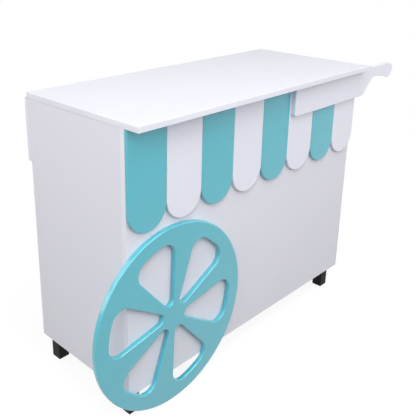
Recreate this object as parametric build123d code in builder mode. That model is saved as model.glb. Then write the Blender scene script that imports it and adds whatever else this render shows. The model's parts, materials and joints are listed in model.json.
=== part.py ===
from build123d import *
import math
import os

# Market counter dressed as a cart: a board carcass with awning strips, a spoked wheel, a handle board
# and a drop leaf at the rear. Millimetres, +Z up, front towards -Y, origin on the floor under the middle.

os.makedirs("parts", exist_ok=True)

# Carcass boards
board = 18.0
length = 1200.0
depth = 470.0
panel_height = 875.0
leaf_gap = 0.5
edge_round = 1.0
rail_width = 100.0
rear_rail_setback = 50.0
shelf_height = 410.0
shelf_setback = 27.0
shelf_play = 0.5

# Worktop
front_overhang = 62.0
edge_band = 2.0

# Feet
foot_height = 95.5
foot_width = 42.0
foot_side_inset = 23.5
foot_front_inset = 27.0
foot_rear_inset = 14.5
foot_round = 1.5
stud_radius = 4.0
stud_in_foot = 25.0
insert_radius = 6.0
insert_length = 15.0

# Awning strips
strip_count = 8
strip_above_wheel = 12.0
strip_thickness = 12.0
strip_gap = 0.6
strip_round = 3.0
strip_back_round = 3.0

# Handle board
handle_strips = 3
handle_inset = 7.0
handle_reach = 259.0
handle_height = 110.0
handle_thickness = 18.0
handle_corner = 10.0
handle_heel_reach = 32.0
handle_heel_radius = 28.0
handle_throat_radius = 80.0
handle_rise_angle = 48.0
handle_fall_angle = 13.0
knob_radius = 32.5
handle_round = 3.0

# Wheel
wheel_radius = 315.5
wheel_thickness = 18.0
wheel_stand_off = 1.0
wheel_from_left = 178.5
wheel_clearance = 1.5
wheel_round = 4.5
rim_width = 50.9
window_count = 6
window_turn = -10.7
window_half_angle = 21.3
window_apex = 14.0
window_nose_radius = 19.8
window_corner_radius = 42.6

# Wheel axle
axle_radius = 6.0
axle_flange_radius = 36.0
axle_flange_thickness = 4.0
axle_screw_circle = 29.0
axle_screw_count = 4
axle_screw_skin = 3.0
bush_radius = 11.0
bush_collar_radius = 22.0
washer_radius = 15.0
washer_thickness = 2.5
nut_width = 19.0
nut_height = 10.0

# Leaf and its hinges
leaf_drop = 214.5
hinge_count = 3
hinge_end_distance = 200.0
hinge_length = 72.0
hinge_plate_width = 28.0
hinge_plate_thickness = 1.6
hinge_screw_spread = 24.0
knuckle_radius = 3.2
hinge_pin_radius = 1.5

# Leaf stays: the brace turns stay_ratio times as far as the leaf, and its pin follows the arm's slot
stay_pivot_in = 30.0
stay_pivot_down = 70.0
stay_brace_length = 120.0
stay_brace_width = 16.0
stay_start_angle = 8.0
stay_ratio = 1.2
leaf_lift = 90.0
stay_sheet = 2.5
stay_brace_thickness = 3.0
stay_pin_radius = 3.0
stay_head_radius = 5.0
stay_head_height = 2.0
stay_plate_width = 40.0
stay_plate_height = 50.0
stay_arm_margin = 8.0
stay_arm_foot = 28.0
stay_corner = 4.0
slot_steps = 8

# Corner brackets and shelf pins
bracket_leg = 30.0
bracket_width = 20.0
bracket_sheet = 2.0
bracket_hole = 20.0
bracket_inset = 110.0
pin_radius = 2.5
pin_length = 16.0
pin_inset = 70.0

# Screws
screw_radius = 1.75
screw_head_radius = 3.5
screw_head_height = 2.0
screw_dome = 1.2
screw_bite = 11.0
screw_end_distance = 40.0
recess_width = 0.9
recess_depth = 1.2
worktop_screw_count = 4
handle_screw_drop = 80.0

# Fits
running_fit = 0.05
running_gap = 0.3
screw_fit = 0.03
drill_tip = 0.5

# Places worked out from the sizes above
strip_width = length / strip_count
handle_start = length - handle_strips * strip_width + handle_inset
wheel_left = wheel_from_left - wheel_radius
x_left = -(wheel_left + length + handle_reach) / 2
x_right = x_left + length
x_middle = x_left + length / 2
y_front = -(depth + board - front_overhang) / 2
y_hinge = y_front + depth
y_inner = y_front + board
y_rear = y_hinge - leaf_gap
z_low = foot_height
z_floor = z_low + board
z_top = z_low + panel_height
wheel_top = wheel_clearance + 2 * wheel_radius
strip_drop = z_top - wheel_top - strip_above_wheel
z_rail = z_top - board
inner_left = x_left + board
inner_right = x_right - board
divider_left = x_middle - board / 2
divider_right = x_middle + board / 2
y_shelf = y_rear - shelf_setback
z_shelf = z_low + shelf_height
middle_plane = Plane.YZ.offset(x_middle)


def block(low, high):
    """Add a block between two opposite corners to the part being built."""
    size = [far - near for near, far in zip(low, high)]
    with Locations(low):
        Box(*size, align=(Align.MIN, Align.MIN, Align.MIN))


def spread(first, last, count):
    """Evenly spaced values from first to last."""
    return [first + (last - first) * step / (count - 1) for step in range(count)]


def front_plane(x, y, z):
    """Plane that faces the front, with its sketch axes along +X and +Z."""
    return Plane(origin=(x, y, z), x_dir=(1, 0, 0), z_dir=(0, -1, 0))


def stay_plane(offset):
    """Upright plane across the hinge line, offset from the left side panel's inner face."""
    return Plane(origin=(inner_left + offset, y_hinge, z_top), x_dir=(0, 1, 0), z_dir=(1, 0, 0))


def screw(shank_length):
    """Domed screw with a cross recess, its head seated at the origin and its shank along +Z."""
    with BuildPart() as piece:
        with BuildSketch(Plane.XZ):
            with BuildLine():
                Polyline(
                    (0, -screw_head_height),
                    (screw_head_radius - screw_dome, -screw_head_height),
                    (screw_head_radius, screw_dome - screw_head_height),
                    (screw_head_radius, 0),
                    (screw_radius, 0),
                    (screw_radius, shank_length - screw_radius),
                    (0, shank_length),
                    close=True,
                )
            make_face()
        revolve(axis=Axis.Z)
        with Locations((0, 0, -screw_head_height)):
            Box(screw_head_radius, recess_width, recess_depth * 2, mode=Mode.SUBTRACT)
            Box(recess_width, screw_head_radius, recess_depth * 2, mode=Mode.SUBTRACT)
    return piece.part


def screw_hole(shank_length):
    """Hole for a screw's shank, from the face under its head."""
    with BuildPart() as piece:
        Cylinder(
            screw_radius + screw_fit,
            shank_length + drill_tip,
            align=(Align.CENTER, Align.CENTER, Align.MIN),
        )
    return piece.part


def drill(places, hole):
    """Cut a hole at each place from the part being built."""
    with Locations(*places):
        add(hole, mode=Mode.SUBTRACT)


# Screw lengths: each passes what it holds and bites into the board behind
sheet_screw_length = stay_sheet + screw_bite
strip_screw_length = board + strip_thickness - strip_round
handle_screw_length = board + strip_thickness + screw_bite
worktop_screw_length = board + screw_bite
axle_screw_length = wheel_thickness - screw_head_height - axle_screw_skin

sheet_screw = screw(sheet_screw_length)
sheet_hole = screw_hole(sheet_screw_length)
strip_screw = screw(strip_screw_length)
strip_hole = screw_hole(strip_screw_length)
handle_screw = screw(handle_screw_length)
handle_hole = screw_hole(handle_screw_length)
worktop_screw = screw(worktop_screw_length)
worktop_hole = screw_hole(worktop_screw_length)
axle_screw = screw(axle_screw_length)
axle_hole = screw_hole(axle_screw_length)

# Bracket places: each plane's X and Z run along the two legs, away from the corner
right = (1, 0, 0)
left = (-1, 0, 0)
back = (0, 1, 0)
forward = (0, -1, 0)
up = (0, 0, 1)
down = (0, 0, -1)
bracket_depths = (y_inner + bracket_inset, y_rear - bracket_inset)
rail_depths = (y_inner + rail_width / 2, y_hinge - rear_rail_setback - rail_width / 2)
bracket_heights = (z_floor + bracket_inset, z_rail - bracket_inset)
bracket_places = []
for corner_x, inward in ((inner_left, right), (inner_right, left)):
    for y in bracket_depths:
        bracket_places.append(Plane((corner_x, y, z_floor), x_dir=inward, z_dir=up))
    for y in rail_depths:
        bracket_places.append(Plane((corner_x, y, z_rail), x_dir=inward, z_dir=down))
    for z in bracket_heights:
        bracket_places.append(Plane((corner_x, y_inner, z), x_dir=inward, z_dir=back))
for x in spread(inner_left + 2 * bracket_inset, inner_right - 2 * bracket_inset, 2):
    bracket_places.append(Plane((x, y_inner, z_floor), x_dir=back, z_dir=up))
for y in bracket_depths:
    bracket_places.append(Plane((divider_left, y, z_floor), x_dir=left, z_dir=up))
for y in rail_depths:
    bracket_places.append(Plane((divider_left, y, z_rail), x_dir=left, z_dir=down))

panel_screw_places = []
for place in bracket_places:
    flat_leg = place.from_local_coords((bracket_hole, 0, bracket_sheet))
    upright_leg = place.from_local_coords((bracket_sheet, 0, bracket_hole))
    panel_screw_places.append(Plane(flat_leg, z_dir=-place.z_dir))
    panel_screw_places.append(Plane(upright_leg, z_dir=-place.x_dir))

# Stay plates are screwed to the side panels in front of the brace's sweep
stay_plate_rear = -(stay_pivot_in - stay_brace_width / 2)
stay_plate_front = stay_plate_rear - stay_plate_width
stay_screw_y = y_hinge + stay_plate_front + stay_brace_width / 2
stay_screw_reach = stay_plate_height / 2 - stay_brace_width / 2
for z in (z_top - stay_pivot_down - stay_screw_reach, z_top - stay_pivot_down + stay_screw_reach):
    panel_screw_places.append(Plane((inner_left + stay_sheet, stay_screw_y, z), z_dir=left))
    panel_screw_places.append(Plane((inner_right - stay_sheet, stay_screw_y, z), z_dir=right))

# Strip, handle and worktop screws, driven from the inside
strip_centres = [x_left + strip_width * (index + 0.5) for index in range(strip_count)]
strip_screw_heights = (z_top - screw_end_distance, z_top - strip_drop + strip_width / 2)
strip_screw_places = [
    Plane((x, y_inner, z), z_dir=forward) for x in strip_centres for z in strip_screw_heights
]
handle_screw_places = [
    Plane((x + side * strip_width / 4, y_inner, z_top - handle_screw_drop), z_dir=forward)
    for x in strip_centres[-handle_strips:]
    for side in (-1, 1)
]
worktop_screw_places = [
    Plane((x_left + length * (index + 0.5) / worktop_screw_count, y, z_rail), z_dir=up)
    for index in range(worktop_screw_count)
    for y in rail_depths
]

# Hinge places along the leaf, and the screws of the two plates of each hinge
hinge_centres = spread(x_left + hinge_end_distance, x_right - hinge_end_distance, hinge_count)
hinge_screw_reach = (hinge_plate_width + knuckle_radius) / 2
hinge_screw_offsets = (-hinge_screw_spread, 0, hinge_screw_spread)
hinge_screw_places = [
    Plane((x + offset, y_hinge - hinge_screw_reach, z_top - hinge_plate_thickness), z_dir=up)
    for x in hinge_centres
    for offset in hinge_screw_offsets
]
leaf_screw_places = [
    Plane((x + offset, y_hinge - hinge_plate_thickness, z_top - hinge_screw_reach), z_dir=back)
    for x in hinge_centres
    for offset in hinge_screw_offsets
]

# Stay layers from the side panel's inner face inwards
brace_offset = stay_sheet + running_gap
pivot_head_offset = brace_offset + stay_brace_thickness + running_gap
arm_offset = pivot_head_offset + stay_head_height + running_gap
slot_head_offset = arm_offset + stay_sheet + running_gap


def brace_pin(lift):
    """Brace pin in the leaf's own frame, as distances along +Y and +Z from the hinge line, at a leaf lift."""
    turn = math.radians(lift)
    swing = math.radians(stay_start_angle) + stay_ratio * turn
    y = -stay_pivot_in + stay_brace_length * math.sin(swing)
    z = -stay_pivot_down - stay_brace_length * math.cos(swing)
    return Vector(
        y * math.cos(turn) + z * math.sin(turn),
        z * math.cos(turn) - y * math.sin(turn),
    )


def slot_side(lift, side):
    """Point on the slot's wall beside the pin, square to the pin's path."""
    step = leaf_lift / 1000
    along = (brace_pin(lift + step) - brace_pin(lift - step)).normalized()
    reach = (stay_pin_radius + running_gap) * side
    return brace_pin(lift) + Vector(-along.Y, along.X) * reach


def slot_end(lift, sense):
    """Point at the slot's round end, ahead of the pin."""
    step = leaf_lift / 1000
    along = (brace_pin(lift + step) - brace_pin(lift - step)).normalized()
    return brace_pin(lift) + along * (stay_pin_radius + running_gap) * sense


slot_lifts = spread(0, leaf_lift, slot_steps + 1)
pin_path = [brace_pin(lift) for lift in slot_lifts]
arm_top = max(point.Y for point in pin_path) + stay_arm_margin + stay_pin_radius
arm_bottom = min(point.Y for point in pin_path) - stay_arm_margin - stay_pin_radius
arm_front = min(point.X for point in pin_path) - stay_arm_margin - stay_pin_radius
arm_screw_x = inner_left + arm_offset + stay_sheet + (stay_arm_foot - stay_sheet) / 2
for z in spread(z_top + arm_bottom + 2 * stay_arm_margin, z_top + arm_top - 2 * stay_arm_margin, 3):
    for x in (arm_screw_x, 2 * x_middle - arm_screw_x):
        leaf_screw_places.append(Plane((x, y_hinge - stay_sheet, z), z_dir=back))

# Wheel centre and the layers of its axle
wheel_x = x_left + wheel_from_left
wheel_z = wheel_clearance + wheel_radius
wheel_back = y_front - wheel_stand_off
flange_back = wheel_back - screw_head_height
washer_front = y_inner + running_gap
nut_front = washer_front + washer_thickness
axle_end = nut_front + nut_height + running_gap
axle_screw_places = []
for index in range(axle_screw_count):
    turn = 2 * math.pi * (index + 0.5) / axle_screw_count
    screw_x = wheel_x + axle_screw_circle * math.cos(turn)
    screw_z = wheel_z + axle_screw_circle * math.sin(turn)
    axle_screw_places.append(Plane((screw_x, flange_back, screw_z), z_dir=forward))

# Shelf pins, half of each in its board, with the shelf resting on top of it
pin_depths = (y_inner + pin_inset, y_shelf - pin_inset)
pin_places = [
    (x, y, z_shelf - pin_radius)
    for x in (inner_left, divider_left, divider_right, inner_right)
    for y in pin_depths
]


def drill_pins():
    """Cut the blind holes for the shelf pins."""
    with Locations(*pin_places):
        Cylinder(pin_radius + screw_fit, pin_length + drill_tip, rotation=(0, 90, 0), mode=Mode.SUBTRACT)


# Side panels
with BuildPart() as side_panel_left:
    block((x_left, y_inner, z_low), (inner_left, y_rear, z_top))
    fillet(side_panel_left.faces().sort_by(Axis.X)[0].edges(), edge_round)
    drill(panel_screw_places, sheet_hole)
    drill_pins()
side_panel_left.part.label = "side_panel_left"
export_step(side_panel_left.part, "parts/side_panel_left.step")

with BuildPart() as side_panel_right:
    mirror(side_panel_left.part, about=middle_plane)
side_panel_right.part.label = "side_panel_right"
export_step(side_panel_right.part, "parts/side_panel_right.step")

# Front panel, over the side panels' front edges
with BuildPart() as front_panel:
    block((x_left, y_front, z_low), (x_right, y_inner, z_top))
    fillet(front_panel.faces().sort_by(Axis.Y)[0].edges(), edge_round)
    drill(panel_screw_places, sheet_hole)
    drill(strip_screw_places, strip_hole)
    drill(handle_screw_places, handle_hole)
    with Locations(front_plane(wheel_x, y_front, wheel_z)):
        Cylinder(bush_radius + screw_fit, 2 * board + drill_tip, mode=Mode.SUBTRACT)
front_panel.part.label = "front_panel"
export_step(front_panel.part, "parts/front_panel.step")

# Feet places under the bottom panel
foot_reach = foot_width / 2
foot_columns = {
    "left": x_left + foot_side_inset + foot_reach,
    "right": x_right - foot_side_inset - foot_reach,
}
foot_rows = {
    "front": y_front + foot_front_inset + foot_reach,
    "rear": y_rear - foot_rear_inset - foot_reach,
}
foot_places = [(x, y, foot_height) for x in foot_columns.values() for y in foot_rows.values()]

# Bottom panel, with a pocket from below for each foot's insert
with BuildPart() as bottom_panel:
    block((inner_left, y_inner, z_low), (inner_right, y_rear, z_floor))
    drill(panel_screw_places, sheet_hole)
    with Locations(*foot_places):
        Cylinder(
            insert_radius + screw_fit,
            insert_length + drill_tip,
            align=(Align.CENTER, Align.CENTER, Align.MIN),
            mode=Mode.SUBTRACT,
        )
bottom_panel.part.label = "bottom_panel"
export_step(bottom_panel.part, "parts/bottom_panel.step")

# Divider between bottom panel and rails
with BuildPart() as centre_divider:
    block((divider_left, y_inner, z_floor), (divider_right, y_shelf, z_rail))
    drill(panel_screw_places, sheet_hole)
    drill_pins()
centre_divider.part.label = "centre_divider"
export_step(centre_divider.part, "parts/centre_divider.step")

# Shelves on their pins
shelf_spans = {
    "shelf_left": (inner_left, divider_left),
    "shelf_right": (divider_right, inner_right),
}
for shelf_name, (x_from, x_to) in shelf_spans.items():
    with BuildPart() as shelf:
        block(
            (x_from + shelf_play, y_inner + shelf_play, z_shelf),
            (x_to - shelf_play, y_shelf, z_shelf + board),
        )
        fillet(shelf.faces().sort_by(Axis.Y)[-1].edges(), edge_round)
    shelf.part.label = shelf_name
    export_step(shelf.part, f"parts/{shelf_name}.step")

with BuildPart() as shelf_pins:
    with Locations(*pin_places):
        Cylinder(pin_radius, pin_length, rotation=(0, 90, 0))
shelf_pins.part.label = "shelf_pins"
export_step(shelf_pins.part, "parts/shelf_pins.step")

# Top rails under the worktop
for rail_name, rail_centre in zip(("front_rail", "rear_rail"), rail_depths):
    with BuildPart() as rail:
        block(
            (inner_left, rail_centre - rail_width / 2, z_rail),
            (inner_right, rail_centre + rail_width / 2, z_top),
        )
        drill(panel_screw_places, sheet_hole)
        drill(worktop_screw_places, worktop_hole)
    rail.part.label = rail_name
    export_step(rail.part, f"parts/{rail_name}.step")

# Worktop, with a round notch for each hinge knuckle in its lower rear arris
z_worktop = z_top + board
y_worktop = y_front - front_overhang + edge_band
hinge_notch = hinge_length + 2 * running_gap
with BuildPart() as worktop:
    block((x_left, y_worktop, z_top), (x_right, y_hinge, z_worktop))
    drill(worktop_screw_places, worktop_hole)
    drill(hinge_screw_places, sheet_hole)
    with Locations(*[(x, y_hinge, z_top) for x in hinge_centres]):
        Cylinder(knuckle_radius + running_gap, hinge_notch, rotation=(0, 90, 0), mode=Mode.SUBTRACT)
worktop.part.label = "worktop"
export_step(worktop.part, "parts/worktop.step")

# Edge bands on the worktop's front and ends
with BuildPart() as worktop_edge_front:
    block((x_left - edge_band, y_worktop - edge_band, z_top), (x_right + edge_band, y_worktop, z_worktop))
    front_face = worktop_edge_front.faces().sort_by(Axis.Y)[0]
    fillet(front_face.edges(), edge_round)
worktop_edge_front.part.label = "worktop_edge_front"
export_step(worktop_edge_front.part, "parts/worktop_edge_front.step")

with BuildPart() as worktop_edge_left:
    block((x_left - edge_band, y_worktop, z_top), (x_left, y_hinge, z_worktop))
    fillet(worktop_edge_left.faces().sort_by(Axis.X)[0].edges().filter_by(Axis.Y), edge_round)
worktop_edge_left.part.label = "worktop_edge_left"
export_step(worktop_edge_left.part, "parts/worktop_edge_left.step")

with BuildPart() as worktop_edge_right:
    mirror(worktop_edge_left.part, about=middle_plane)
worktop_edge_right.part.label = "worktop_edge_right"
export_step(worktop_edge_right.part, "parts/worktop_edge_right.step")

# Awning strips: straight sides and a half-round lower end
strip_reach = (strip_width - strip_gap) / 2
for index, strip_x in enumerate(strip_centres):
    strip_name = f"awning_strip_{index + 1}"
    with BuildPart() as awning_strip:
        with BuildSketch(front_plane(strip_x, y_front, z_top)):
            with BuildLine():
                round_start = -strip_drop + strip_reach
                Polyline(
                    (strip_reach, round_start),
                    (strip_reach, 0),
                    (-strip_reach, 0),
                    (-strip_reach, round_start),
                )
                ThreePointArc((-strip_reach, round_start), (0, -strip_drop), (strip_reach, round_start))
            make_face()
        extrude(amount=strip_thickness)
        strip_face = awning_strip.faces().sort_by(Axis.Y)[0]
        fillet(strip_face.edges().sort_by(Axis.Z)[:-1], strip_round)
        strip_back = awning_strip.faces().sort_by(Axis.Y)[-1]
        fillet(strip_back.edges().sort_by(Axis.Z)[:-1], strip_back_round)
        drill(strip_screw_places, strip_hole)
        drill(handle_screw_places, handle_hole)
    awning_strip.part.label = strip_name
    export_step(awning_strip.part, f"parts/{strip_name}.step")

# Handle board: bottom edge, rising heel, arched throat and a round knob level with the top edge
handle_back = y_front - strip_thickness
knob_x = length + handle_reach - knob_radius
heel_x = length + handle_heel_reach
rise = math.radians(handle_rise_angle)
fall = math.radians(handle_fall_angle)
neck_x = knob_x - knob_radius * math.sin(fall)
neck_z = -knob_radius - knob_radius * math.cos(fall)
throat_run = (neck_z + handle_height + (neck_x - heel_x) * math.tan(fall)) / (math.tan(rise) + math.tan(fall))
throat_x = heel_x + throat_run
throat_z = -handle_height + throat_run * math.tan(rise)
with BuildPart() as handle_board:
    with BuildSketch(front_plane(x_left, handle_back, z_top)) as handle_outline:
        with BuildLine():
            Polyline(
                (handle_start, 0),
                (handle_start, -handle_height),
                (heel_x, -handle_height),
                (throat_x, throat_z),
                (neck_x, neck_z),
                (knob_x, -knob_radius),
                (knob_x, 0),
                close=True,
            )
        make_face()
        corners = handle_outline.vertices()
        fillet(corners.sort_by_distance((handle_start, -handle_height))[0], handle_corner)
        corners = handle_outline.vertices()
        fillet(corners.sort_by_distance((heel_x, -handle_height))[0], handle_heel_radius)
        corners = handle_outline.vertices()
        fillet(corners.sort_by_distance((throat_x, throat_z))[0], handle_throat_radius)
        with Locations((knob_x, -knob_radius)):
            Circle(knob_radius)
    extrude(amount=handle_thickness)
    fillet(handle_board.faces().filter_by(Axis.Y).edges(), handle_round)
    drill(handle_screw_places, handle_hole)
handle_board.part.label = "handle_board"
export_step(handle_board.part, "parts/handle_board.step")

# Wheel disc: six windows between spokes that widen towards the rim, and a pocket in its back for the flange
window_angle = math.radians(window_half_angle)
window_radius = wheel_radius - rim_width
apex_offset = window_apex * math.sin(window_angle)
side_length = math.sqrt(window_radius**2 - apex_offset**2) - window_apex * math.cos(window_angle)
shoulder_x = window_apex + side_length * math.cos(window_angle)
shoulder_z = side_length * math.sin(window_angle)
with BuildSketch() as window:
    with BuildLine():
        Polyline((shoulder_x, -shoulder_z), (window_apex, 0), (shoulder_x, shoulder_z))
        ThreePointArc((shoulder_x, shoulder_z), (window_radius, 0), (shoulder_x, -shoulder_z))
    make_face()
    fillet(window.vertices().sort_by(Axis.X)[0], window_nose_radius)
    fillet(window.vertices().sort_by_distance((shoulder_x, shoulder_z))[0], window_corner_radius)
    fillet(window.vertices().sort_by_distance((shoulder_x, -shoulder_z))[0], window_corner_radius)

with BuildPart() as wheel_disc:
    with BuildSketch(front_plane(wheel_x, wheel_back, wheel_z)):
        Circle(wheel_radius)
        with PolarLocations(0, window_count, start_angle=window_turn):
            add(window.sketch, mode=Mode.SUBTRACT)
    extrude(amount=wheel_thickness)
    fillet(wheel_disc.faces().filter_by(Axis.Y).edges(), wheel_round)
    with Locations(front_plane(wheel_x, wheel_back, wheel_z)):
        pocket_depth = screw_head_height + axle_flange_thickness
        Cylinder(axle_flange_radius + screw_fit, 2 * pocket_depth, mode=Mode.SUBTRACT)
    drill(axle_screw_places, axle_hole)
wheel_disc.part.label = "wheel_disc"
export_step(wheel_disc.part, "parts/wheel_disc.step")

# Axle: a flange let into the disc's back, deep enough for its screw heads, and a shaft through the panel
with BuildPart() as wheel_axle:
    with BuildSketch(front_plane(wheel_x, flange_back, wheel_z)):
        Circle(axle_flange_radius)
    extrude(amount=axle_flange_thickness)
    with BuildSketch(front_plane(wheel_x, axle_end, wheel_z)):
        Circle(axle_radius)
    extrude(amount=axle_end - flange_back)
    drill(axle_screw_places, axle_hole)
wheel_axle.part.label = "wheel_axle"
export_step(wheel_axle.part, "parts/wheel_axle.step")

with BuildPart() as wheel_axle_screws:
    with Locations(*axle_screw_places):
        add(axle_screw)
wheel_axle_screws.part.label = "wheel_axle_screws"
export_step(wheel_axle_screws.part, "parts/wheel_axle_screws.step")

# Bush: a sleeve in the front panel with a collar that runs against the flange and keeps the wheel off it
with BuildPart() as wheel_bush:
    with BuildSketch(front_plane(wheel_x, y_front, wheel_z)):
        Circle(bush_collar_radius)
    extrude(amount=y_front - flange_back - running_gap)
    with BuildSketch(front_plane(wheel_x, y_inner, wheel_z)):
        Circle(bush_radius)
    extrude(amount=board)
    with Locations(front_plane(wheel_x, y_front, wheel_z)):
        Cylinder(axle_radius + running_fit, 2 * (board + wheel_stand_off), mode=Mode.SUBTRACT)
wheel_bush.part.label = "wheel_bush"
export_step(wheel_bush.part, "parts/wheel_bush.step")

with BuildPart() as wheel_washer:
    with BuildSketch(front_plane(wheel_x, nut_front, wheel_z)):
        Circle(washer_radius)
        Circle(axle_radius + screw_fit, mode=Mode.SUBTRACT)
    extrude(amount=washer_thickness)
wheel_washer.part.label = "wheel_washer"
export_step(wheel_washer.part, "parts/wheel_washer.step")

with BuildPart() as wheel_nut:
    with BuildSketch(front_plane(wheel_x, nut_front + nut_height, wheel_z)):
        RegularPolygon(nut_width / 2, 6, major_radius=False)
        Circle(axle_radius + screw_fit, mode=Mode.SUBTRACT)
    extrude(amount=nut_height)
wheel_nut.part.label = "wheel_nut"
export_step(wheel_nut.part, "parts/wheel_nut.step")

# Feet, their studs and the inserts that the studs screw into
for row_name, foot_y in foot_rows.items():
    for column_name, foot_x in foot_columns.items():
        foot_name = f"foot_{row_name}_{column_name}"
        with BuildPart() as foot:
            block(
                (foot_x - foot_reach, foot_y - foot_reach, 0),
                (foot_x + foot_reach, foot_y + foot_reach, foot_height),
            )
            fillet(foot.edges().filter_by(Axis.Z), foot_round)
            chamfer(foot.faces().sort_by(Axis.Z)[0].edges(), foot_round / 2)
            with Locations((foot_x, foot_y, foot_height)):
                Cylinder(
                    stud_radius + screw_fit,
                    stud_in_foot + drill_tip,
                    align=(Align.CENTER, Align.CENTER, Align.MAX),
                    mode=Mode.SUBTRACT,
                )
        foot.part.label = foot_name
        export_step(foot.part, f"parts/{foot_name}.step")

with BuildPart() as foot_studs:
    with Locations(*[(x, y, z - stud_in_foot) for x, y, z in foot_places]):
        Cylinder(
            stud_radius,
            stud_in_foot + insert_length - drill_tip,
            align=(Align.CENTER, Align.CENTER, Align.MIN),
        )
foot_studs.part.label = "foot_studs"
export_step(foot_studs.part, "parts/foot_studs.step")

with BuildPart() as foot_inserts:
    with Locations(*foot_places):
        bottom_up = (Align.CENTER, Align.CENTER, Align.MIN)
        Cylinder(insert_radius, insert_length, align=bottom_up)
        Cylinder(stud_radius + screw_fit, insert_length, align=bottom_up, mode=Mode.SUBTRACT)
foot_inserts.part.label = "foot_inserts"
export_step(foot_inserts.part, "parts/foot_inserts.step")

# Drop leaf, hanging behind the carcass from the hinge line
with BuildPart() as drop_leaf:
    block((x_left, y_hinge, z_top - leaf_drop), (x_right, y_hinge + board, z_top - leaf_gap))
    fillet(drop_leaf.faces().sort_by(Axis.Y)[-1].edges(), edge_round)
    drill(leaf_screw_places, sheet_hole)
    with Locations(*[(x, y_hinge, z_top) for x in hinge_centres]):
        Cylinder(knuckle_radius + running_gap, hinge_notch, rotation=(0, 90, 0), mode=Mode.SUBTRACT)
drop_leaf.part.label = "drop_leaf"
export_step(drop_leaf.part, "parts/drop_leaf.step")

# Butt hinges: outer knuckles on the worktop's plate, the middle one on the leaf's plate
knuckle_length = hinge_length / 3
middle_length = knuckle_length - 2 * running_gap
across_x = (0, 90, 0)
for index, hinge_x in enumerate(hinge_centres):
    knuckle_ends = [hinge_x - knuckle_length, hinge_x + knuckle_length]
    fixed_name = f"leaf_hinge_fixed_{index + 1}"
    with BuildPart() as hinge_fixed:
        block(
            (hinge_x - hinge_length / 2, y_hinge - hinge_plate_width, z_top - hinge_plate_thickness),
            (hinge_x + hinge_length / 2, y_hinge, z_top),
        )
        with Locations((hinge_x, y_hinge, z_top)):
            Cylinder(knuckle_radius + running_gap, knuckle_length, rotation=across_x, mode=Mode.SUBTRACT)
        with Locations(*[(x, y_hinge, z_top) for x in knuckle_ends]):
            Cylinder(knuckle_radius, knuckle_length, rotation=across_x)
        with Locations((hinge_x, y_hinge, z_top)):
            Cylinder(hinge_pin_radius + screw_fit, 2 * hinge_length, rotation=across_x, mode=Mode.SUBTRACT)
        drill(hinge_screw_places, sheet_hole)
    hinge_fixed.part.label = fixed_name
    export_step(hinge_fixed.part, f"parts/{fixed_name}.step")

    moving_name = f"leaf_hinge_moving_{index + 1}"
    with BuildPart() as hinge_moving:
        block(
            (hinge_x - hinge_length / 2, y_hinge - hinge_plate_thickness, z_top - hinge_plate_width),
            (hinge_x + hinge_length / 2, y_hinge, z_top),
        )
        with Locations(*[(x, y_hinge, z_top) for x in knuckle_ends]):
            clear_length = knuckle_length + 2 * running_gap
            Cylinder(knuckle_radius + running_gap, clear_length, rotation=across_x, mode=Mode.SUBTRACT)
        with Locations((hinge_x, y_hinge, z_top)):
            Cylinder(knuckle_radius, middle_length, rotation=across_x)
            Cylinder(hinge_pin_radius + running_fit, 2 * hinge_length, rotation=across_x, mode=Mode.SUBTRACT)
        drill(leaf_screw_places, sheet_hole)
    hinge_moving.part.label = moving_name
    export_step(hinge_moving.part, f"parts/{moving_name}.step")

with BuildPart() as leaf_hinge_pins:
    with Locations(*[(x, y_hinge, z_top) for x in hinge_centres]):
        Cylinder(hinge_pin_radius, hinge_length, rotation=across_x)
leaf_hinge_pins.part.label = "leaf_hinge_pins"
export_step(leaf_hinge_pins.part, "parts/leaf_hinge_pins.step")

# Stay plates on the side panels
pivot = (-stay_pivot_in, -stay_pivot_down)
with BuildPart() as stay_plate_left:
    with BuildSketch(stay_plane(0)):
        with Locations(((stay_plate_front + stay_plate_rear) / 2, -stay_pivot_down)):
            RectangleRounded(stay_plate_width, stay_plate_height, stay_corner)
        with Locations(pivot):
            Circle(stay_pin_radius + screw_fit, mode=Mode.SUBTRACT)
    extrude(amount=stay_sheet)
    drill(panel_screw_places, sheet_hole)
stay_plate_left.part.label = "stay_plate_left"
export_step(stay_plate_left.part, "parts/stay_plate_left.step")

with BuildPart() as stay_plate_right:
    mirror(stay_plate_left.part, about=middle_plane)
stay_plate_right.part.label = "stay_plate_right"
export_step(stay_plate_right.part, "parts/stay_plate_right.step")

# Pivot pins, fixed in the plates, with a head over the brace
with BuildPart() as stay_pivot_pins:
    with BuildSketch(stay_plane(0)):
        with Locations(pivot):
            Circle(stay_pin_radius)
    extrude(amount=pivot_head_offset)
    with BuildSketch(stay_plane(pivot_head_offset)):
        with Locations(pivot):
            Circle(stay_head_radius)
    extrude(amount=stay_head_height)
    mirror(about=middle_plane)
stay_pivot_pins.part.label = "stay_pivot_pins"
export_step(stay_pivot_pins.part, "parts/stay_pivot_pins.step")

# Braces, from the pivot down to the pin in the arm's slot
slot_pin = brace_pin(0)
brace_middle = ((slot_pin.X - stay_pivot_in) / 2, (slot_pin.Y - stay_pivot_down) / 2)
with BuildPart() as stay_brace_left:
    with BuildSketch(stay_plane(brace_offset)):
        with Locations(brace_middle):
            SlotCenterToCenter(stay_brace_length, stay_brace_width, rotation=stay_start_angle - 90)
        with Locations(pivot):
            Circle(stay_pin_radius + running_fit, mode=Mode.SUBTRACT)
        with Locations((slot_pin.X, slot_pin.Y)):
            Circle(stay_pin_radius + screw_fit, mode=Mode.SUBTRACT)
    extrude(amount=stay_brace_thickness)
stay_brace_left.part.label = "stay_brace_left"
export_step(stay_brace_left.part, "parts/stay_brace_left.step")

with BuildPart() as stay_brace_right:
    mirror(stay_brace_left.part, about=middle_plane)
stay_brace_right.part.label = "stay_brace_right"
export_step(stay_brace_right.part, "parts/stay_brace_right.step")

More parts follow.
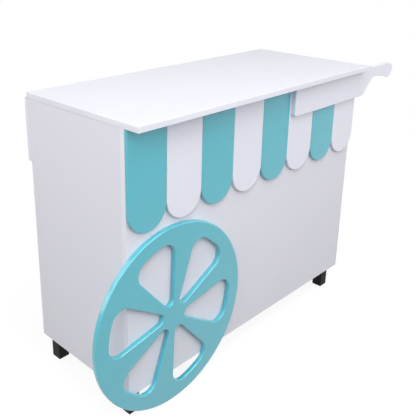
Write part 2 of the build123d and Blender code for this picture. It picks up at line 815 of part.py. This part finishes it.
# Slot pins, fixed in the braces, with a head past the arm
with BuildPart() as stay_slot_pin_left:
    with BuildSketch(stay_plane(brace_offset)):
        with Locations((slot_pin.X, slot_pin.Y)):
            Circle(stay_pin_radius)
    extrude(amount=slot_head_offset - brace_offset)
    with BuildSketch(stay_plane(slot_head_offset)):
        with Locations((slot_pin.X, slot_pin.Y)):
            Circle(stay_head_radius)
    extrude(amount=stay_head_height)
stay_slot_pin_left.part.label = "stay_slot_pin_left"
export_step(stay_slot_pin_left.part, "parts/stay_slot_pin_left.step")

with BuildPart() as stay_slot_pin_right:
    mirror(stay_slot_pin_left.part, about=middle_plane)
stay_slot_pin_right.part.label = "stay_slot_pin_right"
export_step(stay_slot_pin_right.part, "parts/stay_slot_pin_right.step")

# Arms on the leaf: an angle with the curved slot that the brace pin follows as the leaf is lifted
with BuildPart() as stay_arm_left:
    with BuildSketch(stay_plane(arm_offset)):
        with Locations((arm_front, arm_bottom)):
            Rectangle(-arm_front, arm_top - arm_bottom, align=(Align.MIN, Align.MIN))
        with BuildLine():
            one_side = [slot_side(lift, 1) for lift in slot_lifts]
            other_side = [slot_side(lift, -1) for lift in slot_lifts]
            Spline(*one_side)
            ThreePointArc(one_side[-1], slot_end(leaf_lift, 1), other_side[-1])
            Spline(*reversed(other_side))
            ThreePointArc(other_side[0], slot_end(0, -1), one_side[0])
        make_face(mode=Mode.SUBTRACT)
    extrude(amount=stay_sheet)
    arm_corners = stay_arm_left.edges().filter_by(Axis.X).group_by(Axis.Y)[0]
    fillet(arm_corners, stay_corner)
    arm_x = inner_left + arm_offset
    block(
        (arm_x, y_hinge - stay_sheet, z_top + arm_bottom),
        (arm_x + stay_arm_foot, y_hinge, z_top + arm_top),
    )
    drill(leaf_screw_places, sheet_hole)
stay_arm_left.part.label = "stay_arm_left"
export_step(stay_arm_left.part, "parts/stay_arm_left.step")

with BuildPart() as stay_arm_right:
    mirror(stay_arm_left.part, about=middle_plane)
stay_arm_right.part.label = "stay_arm_right"
export_step(stay_arm_right.part, "parts/stay_arm_right.step")

# One bracket, then a copy in each inside corner
with BuildPart() as bracket:
    with BuildSketch(Plane.XZ):
        with BuildLine():
            Polyline(
                (0, 0),
                (bracket_leg, 0),
                (bracket_leg, bracket_sheet),
                (bracket_sheet, bracket_sheet),
                (bracket_sheet, bracket_leg),
                (0, bracket_leg),
                close=True,
            )
        make_face()
    extrude(amount=bracket_width / 2, both=True)

with BuildPart() as corner_brackets:
    with Locations(*bracket_places):
        add(bracket.part)
    drill(panel_screw_places, sheet_hole)
corner_brackets.part.label = "corner_brackets"
export_step(corner_brackets.part, "parts/corner_brackets.step")

# Screw groups
screw_groups = {
    "panel_screws": (sheet_screw, panel_screw_places),
    "hinge_screws": (sheet_screw, hinge_screw_places),
    "leaf_screws": (sheet_screw, leaf_screw_places),
    "strip_screws": (strip_screw, strip_screw_places),
    "handle_screws": (handle_screw, handle_screw_places),
    "worktop_screws": (worktop_screw, worktop_screw_places),
}
for group_name, (screw_part, group_places) in screw_groups.items():
    with BuildPart() as screw_group:
        with Locations(*group_places):
            add(screw_part)
    screw_group.part.label = group_name
    export_step(screw_group.part, f"parts/{group_name}.step")
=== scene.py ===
import json
import math

import bpy
import numpy as np
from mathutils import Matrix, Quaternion, Vector


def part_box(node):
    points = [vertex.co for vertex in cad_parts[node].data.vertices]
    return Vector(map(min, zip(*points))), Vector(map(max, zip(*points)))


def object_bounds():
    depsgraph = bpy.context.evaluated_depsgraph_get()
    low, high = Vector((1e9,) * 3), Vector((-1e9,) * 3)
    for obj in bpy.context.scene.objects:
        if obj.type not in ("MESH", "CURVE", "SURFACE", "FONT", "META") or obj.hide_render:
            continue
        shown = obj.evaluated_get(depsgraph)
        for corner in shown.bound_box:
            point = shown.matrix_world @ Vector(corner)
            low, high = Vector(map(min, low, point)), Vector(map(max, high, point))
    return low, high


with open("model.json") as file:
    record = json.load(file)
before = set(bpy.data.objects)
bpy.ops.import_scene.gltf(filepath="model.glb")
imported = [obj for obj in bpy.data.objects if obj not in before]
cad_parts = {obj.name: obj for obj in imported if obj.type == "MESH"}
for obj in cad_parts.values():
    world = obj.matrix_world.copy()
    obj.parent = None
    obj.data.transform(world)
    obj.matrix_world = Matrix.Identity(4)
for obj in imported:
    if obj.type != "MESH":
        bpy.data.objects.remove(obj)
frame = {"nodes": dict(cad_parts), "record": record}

# The cart counter in white melamine and teal lacquer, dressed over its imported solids. Metres.

cad_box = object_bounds()

# Places taken from the frame
counter_low, counter_high = cad_box
counter_middle = (counter_low + counter_high) / 2
side_panel_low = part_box("side_panel_left")[0]
front_panel_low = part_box("front_panel")[0]
carcass_corner = Vector((side_panel_low.x, front_panel_low.y, front_panel_low.z))

# The photograph's view: its eye is measured from the carcass's lower left front corner
photo_size = 416
photo_centre = 0.5
focal_pixels = 619.5
principal_x = 176.5
principal_y = 146.6
eye_from_corner = Vector((-1.0191, -1.2117, 1.3549))
view_azimuth = math.radians(-45.16)
view_elevation = math.radians(18.53)
view_roll = math.radians(0.49)
view_axis = (0.0, 0.0, 1.0)
view_reach = 100.0
sensor_width = 36.0

# Studio: the floor shows white with a faint shadow, and sends back less light than it shows
floor_reach = 14.0
floor_points = 9
floor_bounce = (0.15, 0.15, 0.155, 1.0)
floor_shadow = (0.16, 0.16, 0.16, 1.0)
floor_glow = 0.88
shadow_near = 1.0
shadow_far = 2.6
white = (1.0, 1.0, 1.0, 1.0)
white_strength = 1.0
sky_strength = 0.03

# Soft boxes: place, width, power and tint; the key and the rear one are a little cooler
plain_white = (1.0, 1.0, 1.0)
cool_white = (0.94, 1.0, 1.0)
soft_boxes = {
    "key_soft_box": ((0.0, -1.37, 4.26), 2.2, 66.0, cool_white),
    "left_soft_box": ((-3.4, -0.9, 2.4), 2.6, 80.0, plain_white),
    "left_rear_soft_box": ((-3.2, 2.6, 1.35), 1.4, 15.0, plain_white),
    "front_left_soft_box": ((-2.0, -2.0, 3.33), 1.0, 22.0, plain_white),
    "low_front_soft_box": ((0.0, -3.4, 2.3), 2.8, 65.0, plain_white),
    "right_front_soft_box": ((2.7, -2.7, 1.9), 1.6, 20.0, plain_white),
    "rear_soft_box": ((-2.4, 2.4, 3.2), 2.2, 23.0, cool_white),
    "right_low_soft_box": ((3.0, 0.45, 0.5), 0.9, 21.0, plain_white),
    "rear_low_soft_box": ((0.3, 3.4, 0.5), 0.9, 42.0, plain_white),
}

# Finish colours, linear
melamine_white = (0.820, 0.808, 0.878)
melamine_cloud = (0.806, 0.794, 0.868)
edging_white = (0.850, 0.855, 0.930)
lacquer_white = (0.834, 0.836, 0.932)
lacquer_white_cloud = (0.820, 0.822, 0.920)
teal = (0.059, 0.470, 0.573)
teal_cloud = (0.055, 0.455, 0.557)
foot_black = (0.012, 0.012, 0.014)
foot_dust = (0.030, 0.029, 0.027)
zinc_bright = (0.66, 0.67, 0.69)
zinc_dull = (0.50, 0.51, 0.54)
nylon_white = (0.80, 0.80, 0.76)
nylon_shade = (0.74, 0.74, 0.70)

# Other values of the finishes
lacquer_coat = 0.8
lacquer_coat_roughness = 0.14
lacquer_coat_index = 1.72
foot_specular = 0.12
dust_band = (0.0, 0.03)
dust_at_floor = 0.55
dust_above = 0.0

# The parts of a noise that are stretched over a whole range
cloud_band = (0.35, 0.65)
blotch_band = (0.35, 0.7)
rough_band = (0.3, 0.7)

# How much of the normal lies along a board's axis, from its edges to its faces
edge_band = (0.35, 0.65)

# The mix node's sockets that have a name in common: its colours and its numbers
mix_colours_in = (6, 7)
mix_colour_out = 2
mix_numbers_in = (2, 3)
mix_number_out = 0


class Finish:
    """A node material under construction: one shader, the piece's own coordinates and small helpers."""

    def __init__(self, name):
        self.material = bpy.data.materials.new(name)
        self.material.use_nodes = True
        self.nodes = self.material.node_tree.nodes
        self.links = self.material.node_tree.links
        self.nodes.clear()
        self.output = self.nodes.new("ShaderNodeOutputMaterial")
        self.shader = self.nodes.new("ShaderNodeBsdfPrincipled")
        self.links.new(self.shader.outputs["BSDF"], self.output.inputs["Surface"])
        self.coordinates = self.nodes.new("ShaderNodeTexCoord")

    def noise(self, scale, detail=2.0, stretch=(1.0, 1.0, 1.0)):
        """Noise on the piece's own coordinates, with features about 1/scale metres across."""
        mapping = self.nodes.new("ShaderNodeMapping")
        mapping.inputs["Scale"].default_value = stretch
        self.links.new(self.coordinates.outputs["Object"], mapping.inputs["Vector"])
        texture = self.nodes.new("ShaderNodeTexNoise")
        texture.inputs["Scale"].default_value = scale
        texture.inputs["Detail"].default_value = detail
        self.links.new(mapping.outputs["Vector"], texture.inputs["Vector"])
        return texture.outputs["Fac"]

    def spread(self, value, band, low, high):
        """A value carried from a band to a range, and held at the range's ends outside the band."""
        node = self.nodes.new("ShaderNodeMapRange")
        node.inputs["From Min"].default_value = band[0]
        node.inputs["From Max"].default_value = band[1]
        node.inputs["To Min"].default_value = low
        node.inputs["To Max"].default_value = high
        self.links.new(value, node.inputs["Value"])
        return node.outputs["Result"]

    def cloud(self, scale, detail=2.0, band=cloud_band):
        """A share from 0 to 1 that changes softly over the piece."""
        return self.spread(self.noise(scale, detail), band, low=0.0, high=1.0)

    def uneven(self, low, high, scale, detail=2.0):
        """A number that wanders between two limits over the piece."""
        return self.spread(self.noise(scale, detail), rough_band, low, high)

    def tint(self, share, first, second):
        """A colour between two: each is a colour or another colour's output."""
        node = self.nodes.new("ShaderNodeMix")
        node.data_type = "RGBA"
        self.links.new(share, node.inputs["Factor"])
        for index, colour in zip(mix_colours_in, (first, second)):
            if isinstance(colour, tuple):
                node.inputs[index].default_value = (*colour, 1.0)
            else:
                self.links.new(colour, node.inputs[index])
        return node.outputs[mix_colour_out]

    def mix(self, share, first, second):
        """A number between two outputs."""
        node = self.nodes.new("ShaderNodeMix")
        node.data_type = "FLOAT"
        self.links.new(share, node.inputs["Factor"])
        for index, value in zip(mix_numbers_in, (first, second)):
            self.links.new(value, node.inputs[index])
        return node.outputs[mix_number_out]

    def times(self, first, second):
        """The product of two outputs."""
        node = self.nodes.new("ShaderNodeMath")
        node.operation = "MULTIPLY"
        self.links.new(first, node.inputs[0])
        self.links.new(second, node.inputs[1])
        return node.outputs["Value"]

    def bump(self, height, depth, strength, under=None):
        """A bump of that depth in metres, laid over another bump."""
        node = self.nodes.new("ShaderNodeBump")
        node.inputs["Strength"].default_value = strength
        node.inputs["Distance"].default_value = depth
        self.links.new(height, node.inputs["Height"])
        if under is not None:
            self.links.new(under, node.inputs["Normal"])
        return node.outputs["Normal"]

    def part_along(self, vector, axis):
        """The part of a coordinate output along one axis."""
        split = self.nodes.new("ShaderNodeSeparateXYZ")
        self.links.new(self.coordinates.outputs[vector], split.inputs["Vector"])
        return split.outputs[axis]

    def board_edge(self, axis):
        """1 on the edges of a board whose faces look along an axis, and 0 on those faces."""
        size = self.nodes.new("ShaderNodeMath")
        size.operation = "ABSOLUTE"
        self.links.new(self.part_along("Normal", axis), size.inputs[0])
        return self.spread(size.outputs["Value"], edge_band, low=1.0, high=0.0)

    def height(self):
        """The height above the floor."""
        return self.part_along("Object", "Z")

    def feed(self, socket, value):
        """Drive one of the shader's sockets."""
        self.links.new(value, self.shader.inputs[socket])


def melamine(axis):
    """White melamine-faced board: a faint cloud and a fine grain, with smoother and lighter edges."""
    finish = Finish(f"white_melamine_{axis.lower()}")
    edge = finish.board_edge(axis)
    face = finish.tint(finish.cloud(scale=2.6, detail=3.0), melamine_white, melamine_cloud)
    finish.feed("Base Color", finish.tint(edge, face, edging_white))
    face_rough = finish.uneven(low=0.40, high=0.48, scale=35.0)
    edge_rough = finish.uneven(low=0.30, high=0.36, scale=60.0)
    finish.feed("Roughness", finish.mix(edge, face_rough, edge_rough))
    grain = finish.noise(scale=900.0)
    finish.feed("Normal", finish.bump(grain, depth=0.00004, strength=0.6))
    return finish.material


def edging():
    """White plastic edging: smooth, with a slight wave from the glueing."""
    finish = Finish("white_edging")
    finish.feed("Base Color", finish.tint(finish.cloud(scale=5.0), edging_white, melamine_white))
    finish.feed("Roughness", finish.uneven(low=0.28, high=0.36, scale=50.0))
    wave = finish.noise(scale=90.0)
    finish.feed("Normal", finish.bump(wave, depth=0.00005, strength=0.5))
    return finish.material


def lacquer(name, colour, cloud_colour):
    """Sprayed satin lacquer with a clear top coat on shaped board: orange peel and a faint cloud."""
    finish = Finish(name)
    finish.feed("Base Color", finish.tint(finish.cloud(scale=4.0, detail=3.0), colour, cloud_colour))
    finish.feed("Roughness", finish.uneven(low=0.30, high=0.40, scale=28.0, detail=3.0))
    finish.shader.inputs["Coat Weight"].default_value = lacquer_coat
    finish.shader.inputs["Coat Roughness"].default_value = lacquer_coat_roughness
    finish.shader.inputs["Coat IOR"].default_value = lacquer_coat_index
    coarse_peel = finish.bump(finish.noise(scale=260.0, detail=1.0), depth=0.00008, strength=0.5)
    fine_noise = finish.noise(scale=1100.0, detail=1.0)
    finish.feed("Normal", finish.bump(fine_noise, depth=0.00002, strength=0.4, under=coarse_peel))
    return finish.material


def moulded_black():
    """Black moulded plastic with a fine grain, dusty just above the floor."""
    finish = Finish("black_moulded_foot")
    finish.shader.inputs["Specular IOR Level"].default_value = foot_specular
    dust_reach = finish.spread(finish.height(), dust_band, low=dust_at_floor, high=dust_above)
    dust = finish.times(dust_reach, finish.noise(scale=140.0, detail=4.0))
    finish.feed("Base Color", finish.tint(dust, foot_black, foot_dust))
    finish.feed("Roughness", finish.uneven(low=0.48, high=0.62, scale=90.0, detail=3.0))
    grain = finish.noise(scale=1500.0)
    finish.feed("Normal", finish.bump(grain, depth=0.00005, strength=0.7))
    return finish.material


def zinc():
    """Bright zinc plate on steel: blotchy grey with fine rolling marks."""
    finish = Finish("zinc_plate")
    finish.shader.inputs["Metallic"].default_value = 1.0
    blotch = finish.cloud(scale=180.0, detail=4.0, band=blotch_band)
    finish.feed("Base Color", finish.tint(blotch, zinc_bright, zinc_dull))
    finish.feed("Roughness", finish.uneven(low=0.28, high=0.46, scale=320.0, detail=3.0))
    marks = finish.noise(scale=700.0, stretch=(0.15, 1.0, 1.0))
    finish.feed("Normal", finish.bump(marks, depth=0.00003, strength=0.5))
    return finish.material


def nylon():
    """Off-white turned nylon with a faint cloud and a fine grain."""
    finish = Finish("white_nylon")
    finish.feed("Base Color", finish.tint(finish.noise(scale=120.0), nylon_white, nylon_shade))
    finish.feed("Roughness", finish.uneven(low=0.42, high=0.55, scale=300.0))
    grain = finish.noise(scale=900.0)
    finish.feed("Normal", finish.bump(grain, depth=0.00004, strength=0.5))
    return finish.material


def dress(finish, node_names):
    """Give CAD nodes a finish."""
    for name in node_names:
        for slot in frame["nodes"][name].material_slots:
            slot.material = finish


def dress_all():
    """Every CAD node gets the finish of what it is made of."""
    dress(melamine("X"), ("side_panel_left", "side_panel_right", "centre_divider"))
    dress(melamine("Y"), ("front_panel", "drop_leaf"))
    flat_boards = ("worktop", "bottom_panel", "shelf_left", "shelf_right", "front_rail", "rear_rail")
    dress(melamine("Z"), flat_boards)
    dress(edging(), ("worktop_edge_front", "worktop_edge_left", "worktop_edge_right"))
    teal_strips = [f"awning_strip_{index}" for index in (1, 3, 5, 7)]
    white_strips = [f"awning_strip_{index}" for index in (2, 4, 6, 8)]
    dress(lacquer("teal_lacquer", teal, teal_cloud), ("wheel_disc", *teal_strips))
    dress(lacquer("white_lacquer", lacquer_white, lacquer_white_cloud), ("handle_board", *white_strips))
    dress(moulded_black(), ("foot_front_left", "foot_front_right", "foot_rear_left", "foot_rear_right"))
    dress(nylon(), ("wheel_bush",))
    pieces = frame["record"]["subparts"]
    steel_pieces = {piece["node"] for piece in pieces if piece["material_slot"] == "zinc_steel"}
    dress(zinc(), sorted(steel_pieces))


def flat_sheet(name, low, high, level):
    """A level sheet: x and y run evenly between two corners and z stays at one level."""
    across = np.linspace(low[0], high[0], floor_points)
    along = np.linspace(low[1], high[1], floor_points)
    x, y = np.meshgrid(across, along, indexing="ij")
    points = np.stack([x, y, np.full_like(x, level)], axis=-1).reshape(-1, 3)
    index = np.arange(x.size).reshape(x.shape)
    corners = [index[:-1, :-1], index[1:, :-1], index[1:, 1:], index[:-1, 1:]]
    quads = np.stack(corners, axis=-1).reshape(-1, 4)
    mesh = bpy.data.meshes.new(name)
    mesh.from_pydata(points.tolist(), [], quads.tolist())
    sheet = bpy.data.objects.new(name, mesh)
    bpy.context.scene.collection.objects.link(sheet)
    return sheet


def background_rays(nodes, links):
    """1 for a ray that comes from the camera, a mirror or a glass, and 0 for the rest."""
    path = nodes.new("ShaderNodeLightPath")
    total = path.outputs["Is Camera Ray"]
    for name in ("Is Glossy Ray", "Is Transmission Ray"):
        most = nodes.new("ShaderNodeMath")
        most.operation = "MAXIMUM"
        links.new(total, most.inputs[0])
        links.new(path.outputs[name], most.inputs[1])
        total = most.outputs["Value"]
    return total


def coloured(nodes, kind, colour, strength=None):
    """A shader node of a kind with its colour and, where it gives light, its strength."""
    node = nodes.new(kind)
    node.inputs["Color"].default_value = colour
    if strength is not None:
        node.inputs["Strength"].default_value = strength
    return node


def make_floor():
    """A pale floor that shows white, with the object's soft shadow on it near the object."""
    floor = flat_sheet("floor", (-floor_reach, -floor_reach), (floor_reach, floor_reach), 0.0)
    material = bpy.data.materials.new("pale_floor")
    material.use_nodes = True
    nodes = material.node_tree.nodes
    links = material.node_tree.links
    nodes.clear()
    output = nodes.new("ShaderNodeOutputMaterial")
    bounce = coloured(nodes, "ShaderNodeBsdfDiffuse", floor_bounce)
    shadow = coloured(nodes, "ShaderNodeBsdfDiffuse", floor_shadow)
    glow = coloured(nodes, "ShaderNodeEmission", white, floor_glow)
    far = coloured(nodes, "ShaderNodeEmission", white, white_strength)
    near = nodes.new("ShaderNodeAddShader")
    links.new(glow.outputs["Emission"], near.inputs[0])
    links.new(shadow.outputs["BSDF"], near.inputs[1])
    place = nodes.new("ShaderNodeTexCoord")
    distance = nodes.new("ShaderNodeVectorMath")
    distance.operation = "LENGTH"
    links.new(place.outputs["Object"], distance.inputs[0])
    reach = nodes.new("ShaderNodeMapRange")
    reach.interpolation_type = "SMOOTHSTEP"
    reach.inputs["From Min"].default_value = shadow_near
    reach.inputs["From Max"].default_value = shadow_far
    links.new(distance.outputs["Value"], reach.inputs["Value"])
    shown = nodes.new("ShaderNodeMixShader")
    links.new(reach.outputs["Result"], shown.inputs["Fac"])
    links.new(near.outputs["Shader"], shown.inputs[1])
    links.new(far.outputs["Emission"], shown.inputs[2])
    choose = nodes.new("ShaderNodeMixShader")
    links.new(background_rays(nodes, links), choose.inputs["Fac"])
    links.new(bounce.outputs["BSDF"], choose.inputs[1])
    links.new(shown.outputs["Shader"], choose.inputs[2])
    links.new(choose.outputs["Shader"], output.inputs["Surface"])
    floor.data.materials.append(material)


def make_sky():
    """Soft light from all round, shown as white."""
    world = bpy.data.worlds.new("studio")
    bpy.context.scene.world = world
    world.use_nodes = True
    nodes = world.node_tree.nodes
    links = world.node_tree.links
    nodes.clear()
    output = nodes.new("ShaderNodeOutputWorld")
    light = coloured(nodes, "ShaderNodeBackground", white, sky_strength)
    shown = coloured(nodes, "ShaderNodeBackground", white, white_strength)
    choose = nodes.new("ShaderNodeMixShader")
    links.new(background_rays(nodes, links), choose.inputs["Fac"])
    links.new(light.outputs["Background"], choose.inputs[1])
    links.new(shown.outputs["Background"], choose.inputs[2])
    links.new(choose.outputs["Shader"], output.inputs["Surface"])


def make_lamp(name, place, width, power, tint):
    """A square soft box at a place, turned to the counter's middle."""
    data = bpy.data.lights.new(name, "AREA")
    data.shape = "SQUARE"
    data.size = width
    data.energy = power
    data.color = tint
    lamp = bpy.data.objects.new(name, data)
    lamp.location = place
    lamp.rotation_mode = "QUATERNION"
    lamp.rotation_quaternion = (counter_middle - Vector(place)).to_track_quat("-Z", "Y")
    bpy.context.scene.collection.objects.link(lamp)


def make_camera():
    """The photograph's camera: eye, direction, roll, lens and the off-centre crop."""
    data = bpy.data.cameras.new("photo_camera")
    data.sensor_width = sensor_width
    data.lens = focal_pixels / photo_size * sensor_width
    data.shift_x = photo_centre - principal_x / photo_size
    data.shift_y = principal_y / photo_size - photo_centre
    data.clip_end = view_reach
    camera = bpy.data.objects.new("photo_camera", data)
    level_reach = math.cos(view_elevation)
    away_x = math.sin(view_azimuth) * level_reach
    away_y = -math.cos(view_azimuth) * level_reach
    away = Vector((away_x, away_y, math.sin(view_elevation)))
    level = (-away).to_track_quat("-Z", "Y")
    camera.location = carcass_corner + eye_from_corner
    camera.rotation_mode = "QUATERNION"
    camera.rotation_quaternion = level @ Quaternion(view_axis, view_roll)
    bpy.context.scene.collection.objects.link(camera)
    bpy.context.scene.camera = camera


dress_all()
make_floor()
make_sky()
for lamp_name, lamp_values in soft_boxes.items():
    make_lamp(lamp_name, *lamp_values)
make_camera()
bpy.context.scene.view_settings.view_transform = "Standard"
